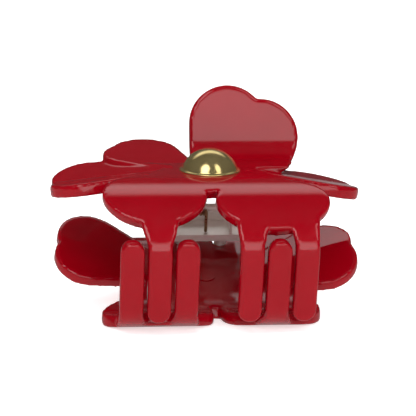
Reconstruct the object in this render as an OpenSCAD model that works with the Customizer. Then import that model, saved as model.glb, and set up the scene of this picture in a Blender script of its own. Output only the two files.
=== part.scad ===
// Flower hair clip: two identical folded acetate flowers facing each other on a sprung hinge.
// Millimetres. Origin: the middle of the clip's footprint, on the ground it stands on.
// +X along the hinge pin, +Y to the finger petals, +Z up. Shown closed.

/* [Sheet] */
// Thickness of the acetate sheet
sheet_t = 3; // [2:0.1:4]
// Distance of the sheet's middle above the hinge pin, under the dome
face_rise = 14.8; // [12:0.1:16]
// Distance of the dome in front of the hinge pin
face_front = 13; // [11:0.1:15]
// Fall of the flower's face towards the finger petals, degrees
face_fall = 11.5; // [6:0.5:16]
// Radius of the flower's middle
core_r = 12; // [9:0.5:14]

/* [Petals] */
// Half width of the front petal with one tooth
single_rx = 12.7; // [11:0.1:14]
// Half width of the front petal with two teeth
double_rx = 14; // [12:0.1:15]
// Droop of the upper half's left petal, degrees
upper_droop = 8.4; // [0:0.1:16]
// Droop of the other side petals, degrees
side_droop = 12; // [0:0.1:16]
// Bend radius of the finger petal, at the sheet's middle
bend_r = 7; // [5:0.5:10]
// Slope of the upright finger petal, degrees
finger_slope = 65; // [50:1:80]

/* [Teeth] */
// Width of a tooth
tooth_w = 5.6; // [4:0.1:5.6]
// Reach of the teeth past the hinge pin
tooth_reach = 10.8; // [8:0.1:13]
// Extra half width where a tooth grows out of its petal
tooth_flare = 1.6; // [0:0.1:3]

/* [Dome] */
// Radius of the dome
dome_r = 7.3; // [5:0.1:9]
// Height of the dome above the sheet
dome_h = 5.8; // [3:0.1:7]
// Radius of the stud that holds the dome
stud_r = 1.5; // [1:0.1:2]

/* [Hinge] */
// Radius of the hinge pin
pin_r = 1.1; // [0.8:0.05:1.4]
// Radial clearance of the upper plate's ears on the pin
pin_gap = 0.06; // [0.03:0.01:0.1]
// Thickness of a hinge plate
plate_t = 0.8; // [0.6:0.1:1.2]
// Distance of a hinge plate's inner face from the pin
plate_rise = 6.4; // [5:0.1:8]
// Half width of a hinge plate
plate_x = 10; // [9:0.1:12]
// Radius of the rivets between plate and sheet
rivet_r = 1.6; // [1:0.1:2]
// Radius of the spring wire
wire_r = 0.45; // [0.3:0.05:0.6]

/* [Stance] */
// Lean of the closed clip when it stands, degrees
rest_pitch = 15.6; // [0:0.1:30]
// Distance of the hinge pin behind the middle of the footprint
rest_y = 11.18; // [0:0.1:20]
// Height of the hinge pin above the ground
rest_z = 25.15; // [15:0.1:35]

/* [Hidden] */
$fn = 96;

red = [0.6, 0.01, 0.07];
gold = [0.8, 0.66, 0.36];
steel = [0.72, 0.7, 0.68];
bronze = [0.5, 0.38, 0.22];

// Petals as lobes [angle, distance, radius] about the dome, seen along the face
right_lobes = [[8, 31.4, 8.4], [20, 32.2, 8.6]];
left_lobes = [[177, 31.6, 8.8], [164.5, 32.2, 8.8]];
back_lobes = [[126, 25.6, 8.8], [136, 25, 8.2]];
back_pitch = 7;
back_fold = 9;
side_fold = 9;
// Each side petal is cupped: slope of its front lobe and of its rear lobe, across the petal
right_cup = [-8, -4];
left_cup = [-8, 9];

// Front of the sheet: slope down to the front, by distance forward of the dome
front_slope = [[0, -face_fall], [6, -face_fall], [16.5, 9], [24, 31], [29, 49],
  [34.5, 90], [60, 90]];
front_from = -8;
front_to = 52;
front_step = 1;
petal_cut = 30;
// Front petals as [middle across, middle along, half width, half length]
front_petal = [[-15.1, -16.4, single_rx, 10], [13.7, -19, double_rx, 9.1]];
neck = [[-20, -11.8], [-11, 0], [11, 0], [20, -11.8], [4, -14.6], [-1.4, -16],
  [-6, -14.4]];
// Each tooth as [middle, share of the flare to its left, share to its right]
teeth_at = [[-14.5, 1, 1], [7.8, 0.5, 0.8], [21.2, 0.8, 0.2]];
tooth_root = 9.4;
tooth_top = 13.4;
tooth_from = 22;

// Finger petal: where the bend starts, and the corner its two flats would meet in
bend_from = 13.5;
bend_turn = finger_slope + face_fall;
bend_steps = 15;
bend_leg = bend_r * tan(bend_turn / 2);
corner_s = bend_from + bend_leg;
corner = [-face_front + corner_s * cos(face_fall), face_rise - corner_s * sin(face_fall)];
corner_flat = bend_from + bend_r * bend_turn * PI / 180 - bend_leg;
finger_lobes = [[6.8, 27.2], [15.5, 23.6]];
finger_r = 10;
finger_side = [[-3.2, 11], [14.5, 11], [22.6, 16.5], [15.5, 23.6], [6.8, 27.2],
  [-3.2, 27.2]];
finger_base = [[-4, 4], [-3.3, 14], [16, 14], [12, 2]];

plate_y = [-3.4, 6.5];
plate_lip = 1;
stop_rise = 3;
ear_r = 2.4;
lower_ear_x = 7.5;
upper_ear_x = 8.6;
rivet_x = 5.2;
rivet_y = 1.2;
rivet_sink = 0.9;
pin_x = 9.7;
pin_head_r = 1.9;
pin_head_t = 0.8;
coil_in = 1.3;
coil_out = 2.2;
coil_x = [-5.8, 1.2];
ring_x = [-6.75, -5.85];
leg_y = 1.75;
dome_rim_r = 7.7;
dome_rim_t = 0.6;
stud_head_r = 2.6;
stud_head_t = 0.4;

// Outline of a petal whose lobes join the dome's centre by tangents
function ray(t, l) = let (q = l[1] * sin(t - l[0]))
  abs(q) > l[2] ? 0 : l[1] * cos(t - l[0]) + sqrt(l[2] * l[2] - q * q);
function lobe_ends(ls, sign) = [for (l = ls) l[0] + sign * asin(l[2] / l[1])];
function petal(ls) = let (a = min(lobe_ends(ls, -1)), b = max(lobe_ends(ls, 1)), n = 48)
  [[0, 0], for (i = [0:n]) let (t = a + (b - a) * (i == 0 ? 1e-4 : i == n ? 1 - 1e-4 : i / n),
    r = max([for (l = ls) ray(t, l)])) [r * cos(t), r * sin(t)]];

// Middle line of the sheet's front, as [y, z, slope] by distance forward of the dome
front_mid = [for (
  d = front_from, y = -face_front - front_from * cos(face_fall),
  z = face_rise + front_from * sin(face_fall);
  d <= front_to;
  a = lookup(d + front_step / 2, front_slope),
  y = y - front_step * cos(a), z = z - front_step * sin(a), d = d + front_step)
  [y, z, lookup(d, front_slope)]];
function side_line(from, to, h) = [for (
  i = [(from - front_from) / front_step : (to - front_from) / front_step])
  let (m = front_mid[i]) [m[0] - h * sin(m[2]), m[1] + h * cos(m[2])]];
function reversed(v) = [for (i = [len(v) - 1 : -1 : 0]) v[i]];

// Shapes drawn in the Y-Z plane and drawn out along X
module along_x(x0, x1) {
  translate([x0, 0, 0]) rotate([90, 0, 90]) linear_extrude(x1 - x0) children();
}

// Strip of the sheet's front between two distances
module front_band(from, to) {
  along_x(-40, 40) polygon(concat(side_line(from, to, sheet_t / 2),
    reversed(side_line(from, to, -sheet_t / 2))));
}

module on_face() {
  translate([0, -face_front, face_rise]) rotate([-face_fall, 0, 0]) children();
}

module sheet() {
  linear_extrude(sheet_t, center = true) children();
}

module front_petals() {
  intersection() {
    front_band(front_from, 32);
    rotate([petal_cut, 0, 0]) linear_extrude(60) {
      for (p = front_petal) polygon([for (t = [0:7.5:352.5])
        [p[0] + p[2] * cos(t), p[1] + p[3] * sin(t)]]);
      polygon(neck);
    }
  }
}

// Teeth, drawn from the front with round tips and spreading roots
module teeth() {
  intersection() {
    front_band(tooth_from, front_to);
    translate([0, -30, 0]) rotate([90, 0, 0]) linear_extrude(20) for (t = teeth_at)
      translate([t[0], 0]) {
        half = tooth_w / 2;
        translate([0, half - tooth_reach]) circle(half);
        translate([-half, half - tooth_reach]) square([tooth_w, tooth_top + tooth_reach]);
        polygon([[-half, tooth_root], [half, tooth_root],
          [half + t[2] * tooth_flare, tooth_top], [half + t[2] * tooth_flare, tooth_top + 2],
          [-half - t[1] * tooth_flare, tooth_top + 2],
          [-half - t[1] * tooth_flare, tooth_top]]);
      }
  }
}

// Petal to one side (1 right, -1 left), drooping and cupped outside its fold
module side_petal(lobes, side, cup, droop) {
  ridge = (lobes[0][0] + lobes[1][0]) / 2;
  sheet() intersection() {
    polygon(petal(lobes));
    translate([-side_fold - 0.5, -20]) square([2 * side_fold + 1, 40]);
  }
  translate([side * side_fold, 0, 0]) rotate([0, side * droop, 0])
    translate([-side * side_fold, 0, 0]) for (k = [0, 1])
      rotate(a = side * cup[k], v = [cos(ridge), sin(ridge), 0]) sheet() intersection() {
        polygon(petal(lobes));
        translate([side > 0 ? side_fold : -side_fold - 50, -30]) square([50, 60]);
        rotate(ridge) translate([0, side * (k - 0.5) > 0 ? -0.3 : -29.7]) square([60, 30]);
      }
}

module back_petal() {
  sheet() intersection() {
    polygon(petal(back_lobes));
    translate([-40, 0]) square([40, back_fold + 0.5]);
  }
  translate([0, back_fold, 0]) rotate([back_pitch, 0, 0]) translate([0, -back_fold, 0])
    sheet() intersection() {
      polygon(petal(back_lobes));
      translate([-40, back_fold]) square([40, 40]);
    }
}

// Upright finger petal: the sheet bends up behind the flower's middle
module finger_petal() {
  intersection() {
    along_x(-40, 40) finger_profile();
    translate([0, corner[0], corner[1]]) rotate([finger_slope, 0, 0])
      translate([0, -corner_flat, -40]) linear_extrude(80) {
        for (c = finger_lobes) translate(c) circle(finger_r);
        polygon(finger_side);
      }
  }
  on_face() sheet() polygon(finger_base);
}

// Points along one face of the bend, at radius r about the bend's centre
function bend_line(r) = [for (t = [0:bend_turn / bend_steps:bend_turn + 0.01])
  [-bend_leg + r * sin(t), bend_r - r * cos(t)]];

module finger_profile() {
  outer = bend_line(bend_r + sheet_t / 2);
  inner = bend_line(bend_r - sheet_t / 2);
  along = 40 * [cos(bend_turn), sin(bend_turn)];
  translate(corner) rotate(-face_fall) polygon(concat(
    [[-bend_leg - 10, -sheet_t / 2]], outer, [outer[bend_steps] + along],
    [inner[bend_steps] + along], reversed(inner), [[-bend_leg - 10, sheet_t / 2]]));
}

module half_flower(left_droop) {
  difference() {
    union() {
      on_face() sheet() difference() {
        circle(core_r);
        translate([-20, -26]) square([40, 20]);
      }
      front_petals();
      teeth();
      on_face() {
        side_petal(right_lobes, 1, right_cup, side_droop);
        side_petal(left_lobes, -1, left_cup, left_droop);
        back_petal();
      }
      finger_petal();
    }
    on_face() cylinder(h = 20, r = stud_r, center = true);
    rivet_shanks();
  }
}

module half_dome() {
  on_face() translate([0, 0, sheet_t / 2]) {
    cylinder(h = dome_rim_t, r = dome_rim_r);
    intersection() {
      translate([0, 0, dome_h - (dome_r * dome_r + dome_h * dome_h) / (2 * dome_h)])
        sphere((dome_r * dome_r + dome_h * dome_h) / (2 * dome_h));
      cylinder(h = dome_h + 1, r = dome_r);
    }
  }
}

module half_stud() {
  on_face() {
    cylinder(h = sheet_t, r = stud_r, center = true);
    translate([0, 0, -sheet_t / 2 - stud_head_t]) cylinder(h = stud_head_t, r = stud_head_r);
  }
}

module rivet_shanks() {
  top = face_rise - (rivet_y + face_front) * tan(face_fall)
    - sheet_t / 2 / cos(face_fall) + rivet_sink;
  for (x = [-rivet_x, rivet_x]) translate([x, rivet_y, plate_rise + plate_t])
    cylinder(h = top - plate_rise - plate_t, r = rivet_r);
}

// Hinge plate: a saddle under the sheet with a stiffening lip in front, ears on the pin, and a
// rear wall that stops the opening
module half_plate(ear_x, bore_r) {
  difference() {
    union() {
      translate([-plate_x, plate_y[0], plate_rise])
        cube([2 * plate_x, plate_y[1] - plate_y[0], plate_t]);
      translate([-plate_x, plate_y[0], plate_rise])
        cube([2 * plate_x, plate_t, plate_t + plate_lip]);
      translate([-plate_x, plate_y[1] - plate_t, stop_rise])
        cube([2 * plate_x, plate_t, plate_rise - stop_rise + plate_t]);
      for (side = [-1, 1]) along_x(side * ear_x - plate_t / 2, side * ear_x + plate_t / 2) {
        circle(ear_r);
        translate([-ear_r, 0]) square([2 * ear_r, plate_rise + plate_t / 2]);
      }
    }
    along_x(-plate_x - 1, plate_x + 1) circle(bore_r);
  }
}

module tube_x(x, r_in, r_out) {
  along_x(x[0], x[1]) difference() {
    circle(r_out);
    circle(r_in);
  }
}

// Closed clip as it stands; the lower half is the upper half turned over
module stand() {
  translate([0, rest_y, rest_z]) rotate([rest_pitch, 0, 0]) children();
}

module turned() {
  stand() rotate([0, 180, 0]) children();
}

module upper_flower() color(red) stand() half_flower(upper_droop);

module lower_flower() color(red) turned() half_flower(side_droop);

module upper_dome() color(gold) stand() half_dome();

module lower_dome() color(gold) turned() half_dome();

module upper_dome_stud() color(red) stand() half_stud();

module lower_dome_stud() color(red) turned() half_stud();

module upper_hinge_plate() color(steel) stand() half_plate(upper_ear_x, pin_r + pin_gap);

module lower_hinge_plate() color(steel) turned() half_plate(lower_ear_x, pin_r);

module upper_rivets() color(steel) stand() rivet_shanks();

module lower_rivets() color(steel) turned() rivet_shanks();

module hinge_pin() color(steel) stand() {
  along_x(-pin_x, pin_x) circle(pin_r);
  for (side = [-1, 1]) along_x(side * pin_x - pin_head_t / 2, side * pin_x + pin_head_t / 2)
    circle(pin_head_r);
}

module spring_coil() color(bronze) stand() tube_x(coil_x, coil_in, coil_out);

module spring_leg_lower() color(bronze) stand()
  translate([coil_x[1] - wire_r, -leg_y, -plate_rise]) cylinder(h = plate_rise, r = wire_r);

module spring_leg_upper() color(bronze) stand() {
  tube_x(ring_x, coil_in, coil_out);
  translate([(ring_x[0] + ring_x[1]) / 2, -leg_y, 0]) cylinder(h = plate_rise, r = wire_r);
}

upper_flower();
lower_flower();
upper_dome();
lower_dome();
upper_dome_stud();
lower_dome_stud();
upper_hinge_plate();
lower_hinge_plate();
upper_rivets();
lower_rivets();
hinge_pin();
spring_coil();
spring_leg_lower();
spring_leg_upper();
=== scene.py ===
"""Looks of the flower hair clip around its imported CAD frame."""
import math

import bmesh
import bpy
from mathutils import Matrix, Vector


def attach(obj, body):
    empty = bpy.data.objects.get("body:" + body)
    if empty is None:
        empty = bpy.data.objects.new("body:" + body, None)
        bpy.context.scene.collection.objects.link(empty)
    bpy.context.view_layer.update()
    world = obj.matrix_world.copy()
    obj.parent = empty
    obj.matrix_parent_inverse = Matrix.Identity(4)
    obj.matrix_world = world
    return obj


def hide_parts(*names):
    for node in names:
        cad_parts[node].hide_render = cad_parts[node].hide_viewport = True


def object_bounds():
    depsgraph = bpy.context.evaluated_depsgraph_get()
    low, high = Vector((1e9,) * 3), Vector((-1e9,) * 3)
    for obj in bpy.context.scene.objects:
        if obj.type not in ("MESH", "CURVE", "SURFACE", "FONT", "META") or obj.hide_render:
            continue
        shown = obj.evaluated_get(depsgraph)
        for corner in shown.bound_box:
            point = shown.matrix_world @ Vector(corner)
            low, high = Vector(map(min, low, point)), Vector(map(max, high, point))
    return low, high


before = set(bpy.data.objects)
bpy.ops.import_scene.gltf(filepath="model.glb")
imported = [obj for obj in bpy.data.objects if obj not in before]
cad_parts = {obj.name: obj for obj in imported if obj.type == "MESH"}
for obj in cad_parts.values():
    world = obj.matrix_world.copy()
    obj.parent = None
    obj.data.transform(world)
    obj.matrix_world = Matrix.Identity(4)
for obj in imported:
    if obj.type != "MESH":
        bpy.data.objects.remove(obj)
cad_box = [list(corner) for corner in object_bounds()]

MM = 0.001
REST_PITCH, REST_Y, REST_Z = 15.6, 11.18, 25.15
FACE_FRONT, FACE_RISE, FACE_FALL, SHEET_T = 13.0, 14.8, 11.5, 3.0
DOME_R, DOME_H, RIM_R, RIM_T = 7.3, 5.8, 7.7, 0.6
WIRE_R, COIL_MEAN, COIL_FROM, COIL_TO = 0.45, 1.75, -5.35, 0.75
PLATE_RISE = 6.4
COIL_TURNS, LOOP_X, LOOP_TURNS = 6, -6.3, 0.93

# Rounding of the acetate: grid size, smoothing passes, and thickness put back, in millimetres
ROUND_GRID, ROUND_PASSES, ROUND_FILL = 0.38, 16, 0.16

PANEL_DISTANCE, LAMP_DISTANCE = 1.2, 0.9
AIM_HEIGHT = 0.03

STAND = Matrix.Translation((0, REST_Y, REST_Z)) @ Matrix.Rotation(math.radians(REST_PITCH), 4, "X")
TURN = Matrix.Rotation(math.pi, 4, "Y")
FACE = Matrix.Translation((0, -FACE_FRONT, FACE_RISE)) @ Matrix.Rotation(math.radians(-FACE_FALL), 4, "X")
TO_M = Matrix.Scale(MM, 4)


# ---------------------------------------------------------------- materials

def new_material(name, base, metallic, roughness):
    """A material with its shader, and its node tree ready for more."""
    m = bpy.data.materials.new(name)
    m.use_nodes = True
    b = m.node_tree.nodes["Principled BSDF"]
    b.inputs["Base Color"].default_value = (*base, 1)
    b.inputs["Metallic"].default_value = metallic
    b.inputs["Roughness"].default_value = roughness
    return m, m.node_tree, b


def noise(tree, scale, detail=3.0, stretch=None):
    """A noise over the object's own coordinates, in units of 1/scale metres."""
    co = tree.nodes.new("ShaderNodeTexCoord")
    n = tree.nodes.new("ShaderNodeTexNoise")
    n.inputs["Scale"].default_value = scale
    n.inputs["Detail"].default_value = detail
    if stretch:
        mp = tree.nodes.new("ShaderNodeMapping")
        mp.inputs["Scale"].default_value = stretch
        tree.links.new(co.outputs["Object"], mp.inputs["Vector"])
        tree.links.new(mp.outputs["Vector"], n.inputs["Vector"])
    else:
        tree.links.new(co.outputs["Object"], n.inputs["Vector"])
    return n.outputs["Fac"]


def ramp(tree, fac, stops):
    r = tree.nodes.new("ShaderNodeValToRGB")
    els = r.color_ramp.elements
    while len(els) < len(stops):
        els.new(0.5)
    for e, (pos, col) in zip(els, stops):
        e.position = pos
        e.color = (*col, 1) if len(col) == 3 else col
    tree.links.new(fac, r.inputs["Fac"])
    return r.outputs["Color"]


def grey(v):
    return (v, v, v)


def bump(tree, shader, layers):
    """Height layers of (socket, strength, distance in metres), chained onto the shader."""
    last = None
    for socket, strength, distance in layers:
        b = tree.nodes.new("ShaderNodeBump")
        b.inputs["Strength"].default_value = strength
        b.inputs["Distance"].default_value = distance
        tree.links.new(socket, b.inputs["Height"])
        if last:
            tree.links.new(last, b.inputs["Normal"])
        last = b.outputs["Normal"]
    tree.links.new(last, shader.inputs["Normal"])


def acetate():
    m, t, b = new_material("red_acetate", (0.29, 0.0002, 0.0055), 0.0, 0.1)
    tone = ramp(t, noise(t, 90, 2.0), [(0.3, (0.28, 0.0001, 0.005)), (0.7, (0.305, 0.0003, 0.0064))])
    t.links.new(tone, b.inputs["Base Color"])
    haze = ramp(t, noise(t, 420, 4.0), [(0.35, grey(0.09)), (0.75, grey(0.16))])
    t.links.new(haze, b.inputs["Roughness"])
    b.inputs["IOR"].default_value = 1.5
    b.inputs["Coat Weight"].default_value = 0.1
    b.inputs["Coat Roughness"].default_value = 0.04
    bump(t, b, [(noise(t, 55, 1.0), 0.10, 0.0006), (noise(t, 700, 1.0), 0.008, 0.00005)])
    return m


def gold():
    m, t, b = new_material("pale_gold", (0.72, 0.57, 0.25), 0.88, 0.16)
    tone = ramp(t, noise(t, 160, 3.0), [(0.3, (0.66, 0.51, 0.20)), (0.7, (0.78, 0.62, 0.28))])
    t.links.new(tone, b.inputs["Base Color"])
    haze = ramp(t, noise(t, 900, 4.0), [(0.3, grey(0.10)), (0.75, grey(0.22))])
    t.links.new(haze, b.inputs["Roughness"])
    bump(t, b, [(noise(t, 3500, 2.0), 0.03, 0.00004)])
    return m


def nickel(stretch=(0.06, 1, 1)):
    m, t, b = new_material("brushed_nickel", (0.84, 0.79, 0.73), 0.5, 0.45)
    tone = ramp(t, noise(t, 200, 4.0), [(0.25, (0.74, 0.69, 0.63)), (0.75, (0.88, 0.83, 0.78))])
    t.links.new(tone, b.inputs["Base Color"])
    brushed = noise(t, 9000, 3.0, stretch)
    haze = ramp(t, brushed, [(0.3, grey(0.34)), (0.7, grey(0.5))])
    t.links.new(haze, b.inputs["Roughness"])
    bump(t, b, [(brushed, 0.12, 0.00003)])
    return m


def bronze():
    m, t, b = new_material("spring_wire", (0.42, 0.30, 0.17), 1.0, 0.3)
    tone = ramp(t, noise(t, 700, 3.0), [(0.3, (0.34, 0.23, 0.12)), (0.7, (0.50, 0.37, 0.22))])
    t.links.new(tone, b.inputs["Base Color"])
    haze = ramp(t, noise(t, 2500, 3.0), [(0.3, grey(0.22)), (0.75, grey(0.42))])
    t.links.new(haze, b.inputs["Roughness"])
    bump(t, b, [(noise(t, 6000, 2.0), 0.08, 0.00003)])
    return m


RED, GOLD, NICKEL, BRONZE = acetate(), gold(), nickel(), bronze()


# ------------------------------------------------------------------ pieces

def coated(mesh, material):
    """The mesh in one material, shaded smooth."""
    mesh.materials.clear()
    mesh.materials.append(material)
    for p in mesh.polygons:
        p.use_smooth = True


def add_mesh(name, mesh, material):
    o = bpy.data.objects.new(name, mesh)
    bpy.context.scene.collection.objects.link(o)
    coated(mesh, material)
    return o


def applied(o):
    """The object's mesh with its modifiers applied; the modifiers go."""
    done = bpy.data.meshes.new_from_object(o.evaluated_get(bpy.context.evaluated_depsgraph_get()))
    o.modifiers.clear()
    o.data = done
    return o


def tumbled(node, name, body):
    """Tumble-polished acetate: the node's solid, edges and corners rounded, inside the CAD's box."""
    o = add_mesh(name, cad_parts[node].data.copy(), RED)
    r = o.modifiers.new("remesh", "REMESH")
    r.mode, r.voxel_size, r.adaptivity = "VOXEL", ROUND_GRID * MM, 0.0
    s = o.modifiers.new("round", "SMOOTH")
    s.factor, s.iterations = 0.5, ROUND_PASSES
    d = o.modifiers.new("fill", "DISPLACE")
    d.strength, d.mid_level = ROUND_FILL * MM, 0.0
    bpy.context.view_layer.update()
    applied(o)
    for v in o.data.vertices:
        v.co = [min(max(c, low), high) for c, low, high in zip(v.co, *cad_box)]
    coated(o.data, RED)
    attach(o, body)
    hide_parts(node)
    return o


def lathe(name, outline, matrix, material, steps=96):
    """A closed turned piece from (r, z) points in millimetres, first and last on the axis."""
    bm = bmesh.new()
    rings = []
    for r, z in outline:
        if r < 1e-6:
            rings.append([bm.verts.new((0, 0, z))])
        else:
            rings.append([bm.verts.new((r * math.cos(2 * math.pi * k / steps),
                                        r * math.sin(2 * math.pi * k / steps), z)) for k in range(steps)])
    for a, b in zip(rings, rings[1:]):
        for k in range(steps):
            n = (k + 1) % steps
            if len(a) == 1:
                bm.faces.new((a[0], b[n], b[k]))
            elif len(b) == 1:
                bm.faces.new((a[k], a[n], b[0]))
            else:
                bm.faces.new((a[k], a[n], b[n], b[k]))
    bmesh.ops.recalc_face_normals(bm, faces=bm.faces)
    bmesh.ops.transform(bm, matrix=TO_M @ matrix, verts=bm.verts)
    mesh = bpy.data.meshes.new(name)
    bm.to_mesh(mesh)
    bm.free()
    return add_mesh(name, mesh, material)


def dome_outline():
    """Dome with a rolled rim, its underside flat on the sheet."""
    ball = (DOME_R ** 2 + DOME_H ** 2) / (2 * DOME_H)
    mid = DOME_H - ball
    half = RIM_T / 2
    pts = [(0, 0), (RIM_R - half, 0)]
    pts += [(RIM_R - half + half * math.sin(a), half - half * math.cos(a))
            for a in (math.radians(20 * k) for k in range(1, 9))]
    start = math.asin((RIM_T + 0.15 - mid) / ball)
    pts += [(RIM_R - half, RIM_T), (ball * math.cos(start) + 0.08, RIM_T + 0.04)]
    pts += [(ball * math.cos(a), mid + ball * math.sin(a))
            for a in (start + (math.pi / 2 - start) * k / 28 for k in range(28))]
    return pts + [(0, DOME_H)]


def tube(name, points, radius, material, sides=16):
    """A round wire along points in clip millimetres, rounded off at both ends."""
    pts = [Vector(p) for p in points]
    bm = bmesh.new()
    rings = []
    up = None
    for i, p in enumerate(pts):
        d = (pts[min(i + 1, len(pts) - 1)] - pts[max(i - 1, 0)]).normalized()
        if up is None:
            up = d.orthogonal().normalized()
        up = (up - d * up.dot(d)).normalized()
        side = d.cross(up)
        rings.append([bm.verts.new(p + radius * (up * math.cos(a) + side * math.sin(a)))
                      for a in (2 * math.pi * k / sides for k in range(sides))])
    for a, b in zip(rings, rings[1:]):
        for k in range(sides):
            n = (k + 1) % sides
            bm.faces.new((a[k], a[n], b[n], b[k]))
    for ring, p, q in ((rings[0], pts[0], pts[1]), (rings[-1], pts[-1], pts[-2])):
        tip = bm.verts.new(p + (p - q).normalized() * radius * 0.5)
        for k in range(sides):
            bm.faces.new((ring[k], ring[(k + 1) % sides], tip))
    bmesh.ops.recalc_face_normals(bm, faces=bm.faces)
    bmesh.ops.transform(bm, matrix=TO_M @ STAND, verts=bm.verts)
    mesh = bpy.data.meshes.new(name)
    bm.to_mesh(mesh)
    bm.free()
    return add_mesh(name, mesh, material)


def turn(x0, x1, turns, start, steps=28):
    """Points of a wire wound round the pin, from x0 to x1; angle 0 is to the front."""
    n = max(2, round(turns * steps))
    return [(x0 + (x1 - x0) * k / n,
             -COIL_MEAN * math.cos(start + 2 * math.pi * turns * k / n),
             COIL_MEAN * math.sin(start + 2 * math.pi * turns * k / n)) for k in range(n + 1)]


tumbled("upper_flower", "upper_acetate", "upper_half")
tumbled("lower_flower", "lower_acetate", "lower_half")

for half, flip in (("upper", Matrix.Identity(4)), ("lower", TURN)):
    place = STAND @ flip @ FACE @ Matrix.Translation((0, 0, SHEET_T / 2))
    dome = lathe(half + "_gold_dome", dome_outline(), place, GOLD)
    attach(dome, half + "_half")
    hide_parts(half + "_dome")

coil = turn(COIL_FROM, COIL_TO, COIL_TURNS, 0.0)
coil += [(COIL_TO + 0.1, -COIL_MEAN, -0.4), (COIL_TO + 0.15, -COIL_MEAN, -1.2),
         (COIL_TO + 0.15, -COIL_MEAN, 0.3 - PLATE_RISE)]
spring = tube("spring_wire_coil", coil, WIRE_R, BRONZE)
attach(spring, "lower_half")
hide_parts("spring_coil", "spring_leg_lower")

loop = turn(LOOP_X, LOOP_X, LOOP_TURNS, math.radians(25))
loop += [(LOOP_X, -COIL_MEAN, z) for z in (0.5, 1.5, PLATE_RISE - 0.3)]
leg = tube("spring_wire_leg", loop, WIRE_R, BRONZE)
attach(leg, "upper_half")
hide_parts("spring_leg_upper")

for node, width in (("upper_hinge_plate", 0.18), ("lower_hinge_plate", 0.18), ("hinge_pin", 0.2),
                    ("upper_rivets", 0.1), ("lower_rivets", 0.1),
                    ("upper_dome_stud", 0.15), ("lower_dome_stud", 0.15)):
    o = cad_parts[node]
    for slot in o.material_slots:
        slot.material = RED if node.endswith("stud") else NICKEL
    b = o.modifiers.new("edge", "BEVEL")
    b.width, b.segments, b.limit_method, b.angle_limit = width * MM, 3, "ANGLE", math.radians(40)
    for p in o.data.polygons:
        p.use_smooth = True
    w = o.modifiers.new("shade", "WEIGHTED_NORMAL")
    w.keep_sharp = True


# ------------------------------------------------------------------- stage

def plane(name, corners, material):
    mesh = bpy.data.meshes.new(name)
    mesh.from_pydata(corners, [], [tuple(range(len(corners)))])
    o = bpy.data.objects.new(name, mesh)
    bpy.context.scene.collection.objects.link(o)
    mesh.materials.append(material)
    return o


def stage_material(name, colour, glow):
    m, t, b = new_material(name, colour, 0.0, 0.7)
    b.inputs["Specular IOR Level"].default_value = 0.1
    b.inputs["Emission Color"].default_value = (1, 1, 1, 1)
    b.inputs["Emission Strength"].default_value = glow
    return m


floor = plane("floor", [(-3, -3, 0), (3, -3, 0), (3, 3, 0), (-3, 3, 0)],
              stage_material("floor_white", (0.86, 0.86, 0.86), 0.62))
floor.visible_glossy = False
wall = plane("backdrop", [(-3, 1.6, -0.2), (3, 1.6, -0.2), (3, 1.6, 3), (-3, 1.6, 3)],
             stage_material("backdrop_white", (0.9, 0.9, 0.9), 0.9))
wall.visible_glossy = False
table = plane("floor_reflection", [(-3, -3, -0.0004), (3, -3, -0.0004), (3, 3, -0.0004), (-3, 3, -0.0004)],
              stage_material("floor_grey", (0.3, 0.3, 0.3), 0.15))
table.visible_camera = table.visible_diffuse = table.visible_shadow = False


def direction(azimuth, elevation):
    """Unit vector; azimuth 0 is to the front, positive to the right, 180 is behind."""
    a, e = math.radians(azimuth), math.radians(elevation)
    return Vector((math.sin(a) * math.cos(e), -math.cos(a) * math.cos(e), math.sin(e)))


def softbox(name, azimuth, elevation, size, strength, edge):
    """A panel that shows only in reflections, bright in its middle and fading to its edges."""
    m = bpy.data.materials.new(name)
    m.use_nodes = True
    t = m.node_tree
    t.nodes.clear()
    co = t.nodes.new("ShaderNodeTexCoord")
    mp = t.nodes.new("ShaderNodeMapping")
    mp.inputs["Scale"].default_value = (2 / size[0], 2 / size[1], 1)
    g = t.nodes.new("ShaderNodeTexGradient")
    g.gradient_type = "SPHERICAL"
    fade = t.nodes.new("ShaderNodeMapRange")
    fade.interpolation_type = "SMOOTHSTEP"
    fade.inputs["From Max"].default_value = edge
    fade.inputs["To Max"].default_value = strength
    e = t.nodes.new("ShaderNodeEmission")
    e.inputs["Color"].default_value = (1, 1, 1, 1)
    out = t.nodes.new("ShaderNodeOutputMaterial")
    t.links.new(co.outputs["Object"], mp.inputs["Vector"])
    t.links.new(mp.outputs["Vector"], g.inputs["Vector"])
    t.links.new(g.outputs["Fac"], fade.inputs["Value"])
    t.links.new(fade.outputs["Result"], e.inputs["Strength"])
    t.links.new(e.outputs["Emission"], out.inputs["Surface"])
    w, h = size[0] / 2, size[1] / 2
    o = plane(name, [(-w, -h, 0), (w, -h, 0), (w, h, 0), (-w, h, 0)], m)
    d = direction(azimuth, elevation)
    o.location = Vector((0, 0, AIM_HEIGHT)) + d * PANEL_DISTANCE
    o.rotation_euler = (-d).to_track_quat("Z", "Y").to_euler()
    o.visible_camera = o.visible_diffuse = o.visible_shadow = False
    return o


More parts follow.
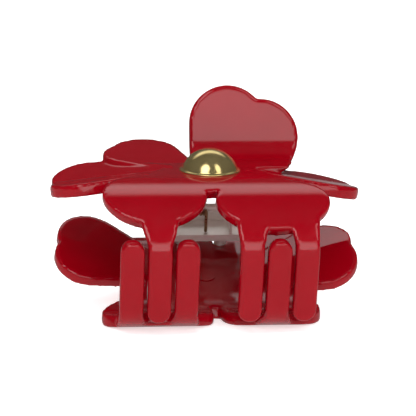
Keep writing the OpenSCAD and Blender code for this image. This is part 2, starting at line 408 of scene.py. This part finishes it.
def area(name, azimuth, elevation, size, power):
    """A soft light that shapes the object but doesn't show in its gloss."""
    light = bpy.data.lights.new(name, "AREA")
    light.shape = "RECTANGLE"
    light.size, light.size_y = size
    light.energy = power
    o = bpy.data.objects.new(name, light)
    d = direction(azimuth, elevation)
    o.location = Vector((0, 0, AIM_HEIGHT)) + d * LAMP_DISTANCE
    o.rotation_euler = (-d).to_track_quat("-Z", "Y").to_euler()
    o.visible_glossy = False
    bpy.context.scene.collection.objects.link(o)
    return o


world = bpy.data.worlds.new("studio")
bpy.context.scene.world = world
world.use_nodes = True
world.node_tree.nodes["Background"].inputs["Color"].default_value = (0.95, 0.97, 1.0, 1)
world.node_tree.nodes["Background"].inputs["Strength"].default_value = 0.05

area("key_top", -20, 72, (0.8, 0.8), 4.6)
area("key_front", 10, 28, (0.6, 0.4), 3.9)
area("fill_left", -80, 35, (0.5, 0.5), 1.4)
area("fill_right", 80, 35, (0.5, 0.5), 0.9)
area("fill_back", 180, 40, (0.6, 0.5), 1.0)

softbox("panel_front", 4, 7, (1.6, 0.85), 2.1, edge=0.6)
softbox("panel_dome_left", -27, 38, (0.75, 0.95), 2.8, edge=0.25)
softbox("panel_dome_right", 34, 38, (0.45, 0.9), 2.0, edge=0.3)
softbox("panel_back", 180, 53, (2.2, 0.66), 1.25, edge=0.7)

# ------------------------------------------------------------------ camera

HINGE = Vector((0, REST_Y, REST_Z)) * MM
elev, side, roll, dist = math.radians(9.4), math.radians(6.3), math.radians(0.6), 0.45
to_camera = Vector((-math.sin(side) * math.cos(elev), -math.cos(side) * math.cos(elev), math.sin(elev)))
aim = HINGE + Vector((0.0015, 0, -0.0001))
cam = bpy.data.objects.new("camera", bpy.data.cameras.new("camera"))
bpy.context.scene.collection.objects.link(cam)
cam.data.sensor_width = 36
cam.data.lens = 147.2
cam.data.clip_start, cam.data.clip_end = 0.01, 20
cam.matrix_world = (Matrix.Translation(aim + to_camera * dist)
                    @ (-to_camera).to_track_quat("-Z", "Y").to_matrix().to_4x4()
                    @ Matrix.Rotation(roll, 4, "Z"))
bpy.context.scene.camera = cam
bpy.context.scene.view_settings.view_transform = "Standard"

bpy.context.view_layer.update()
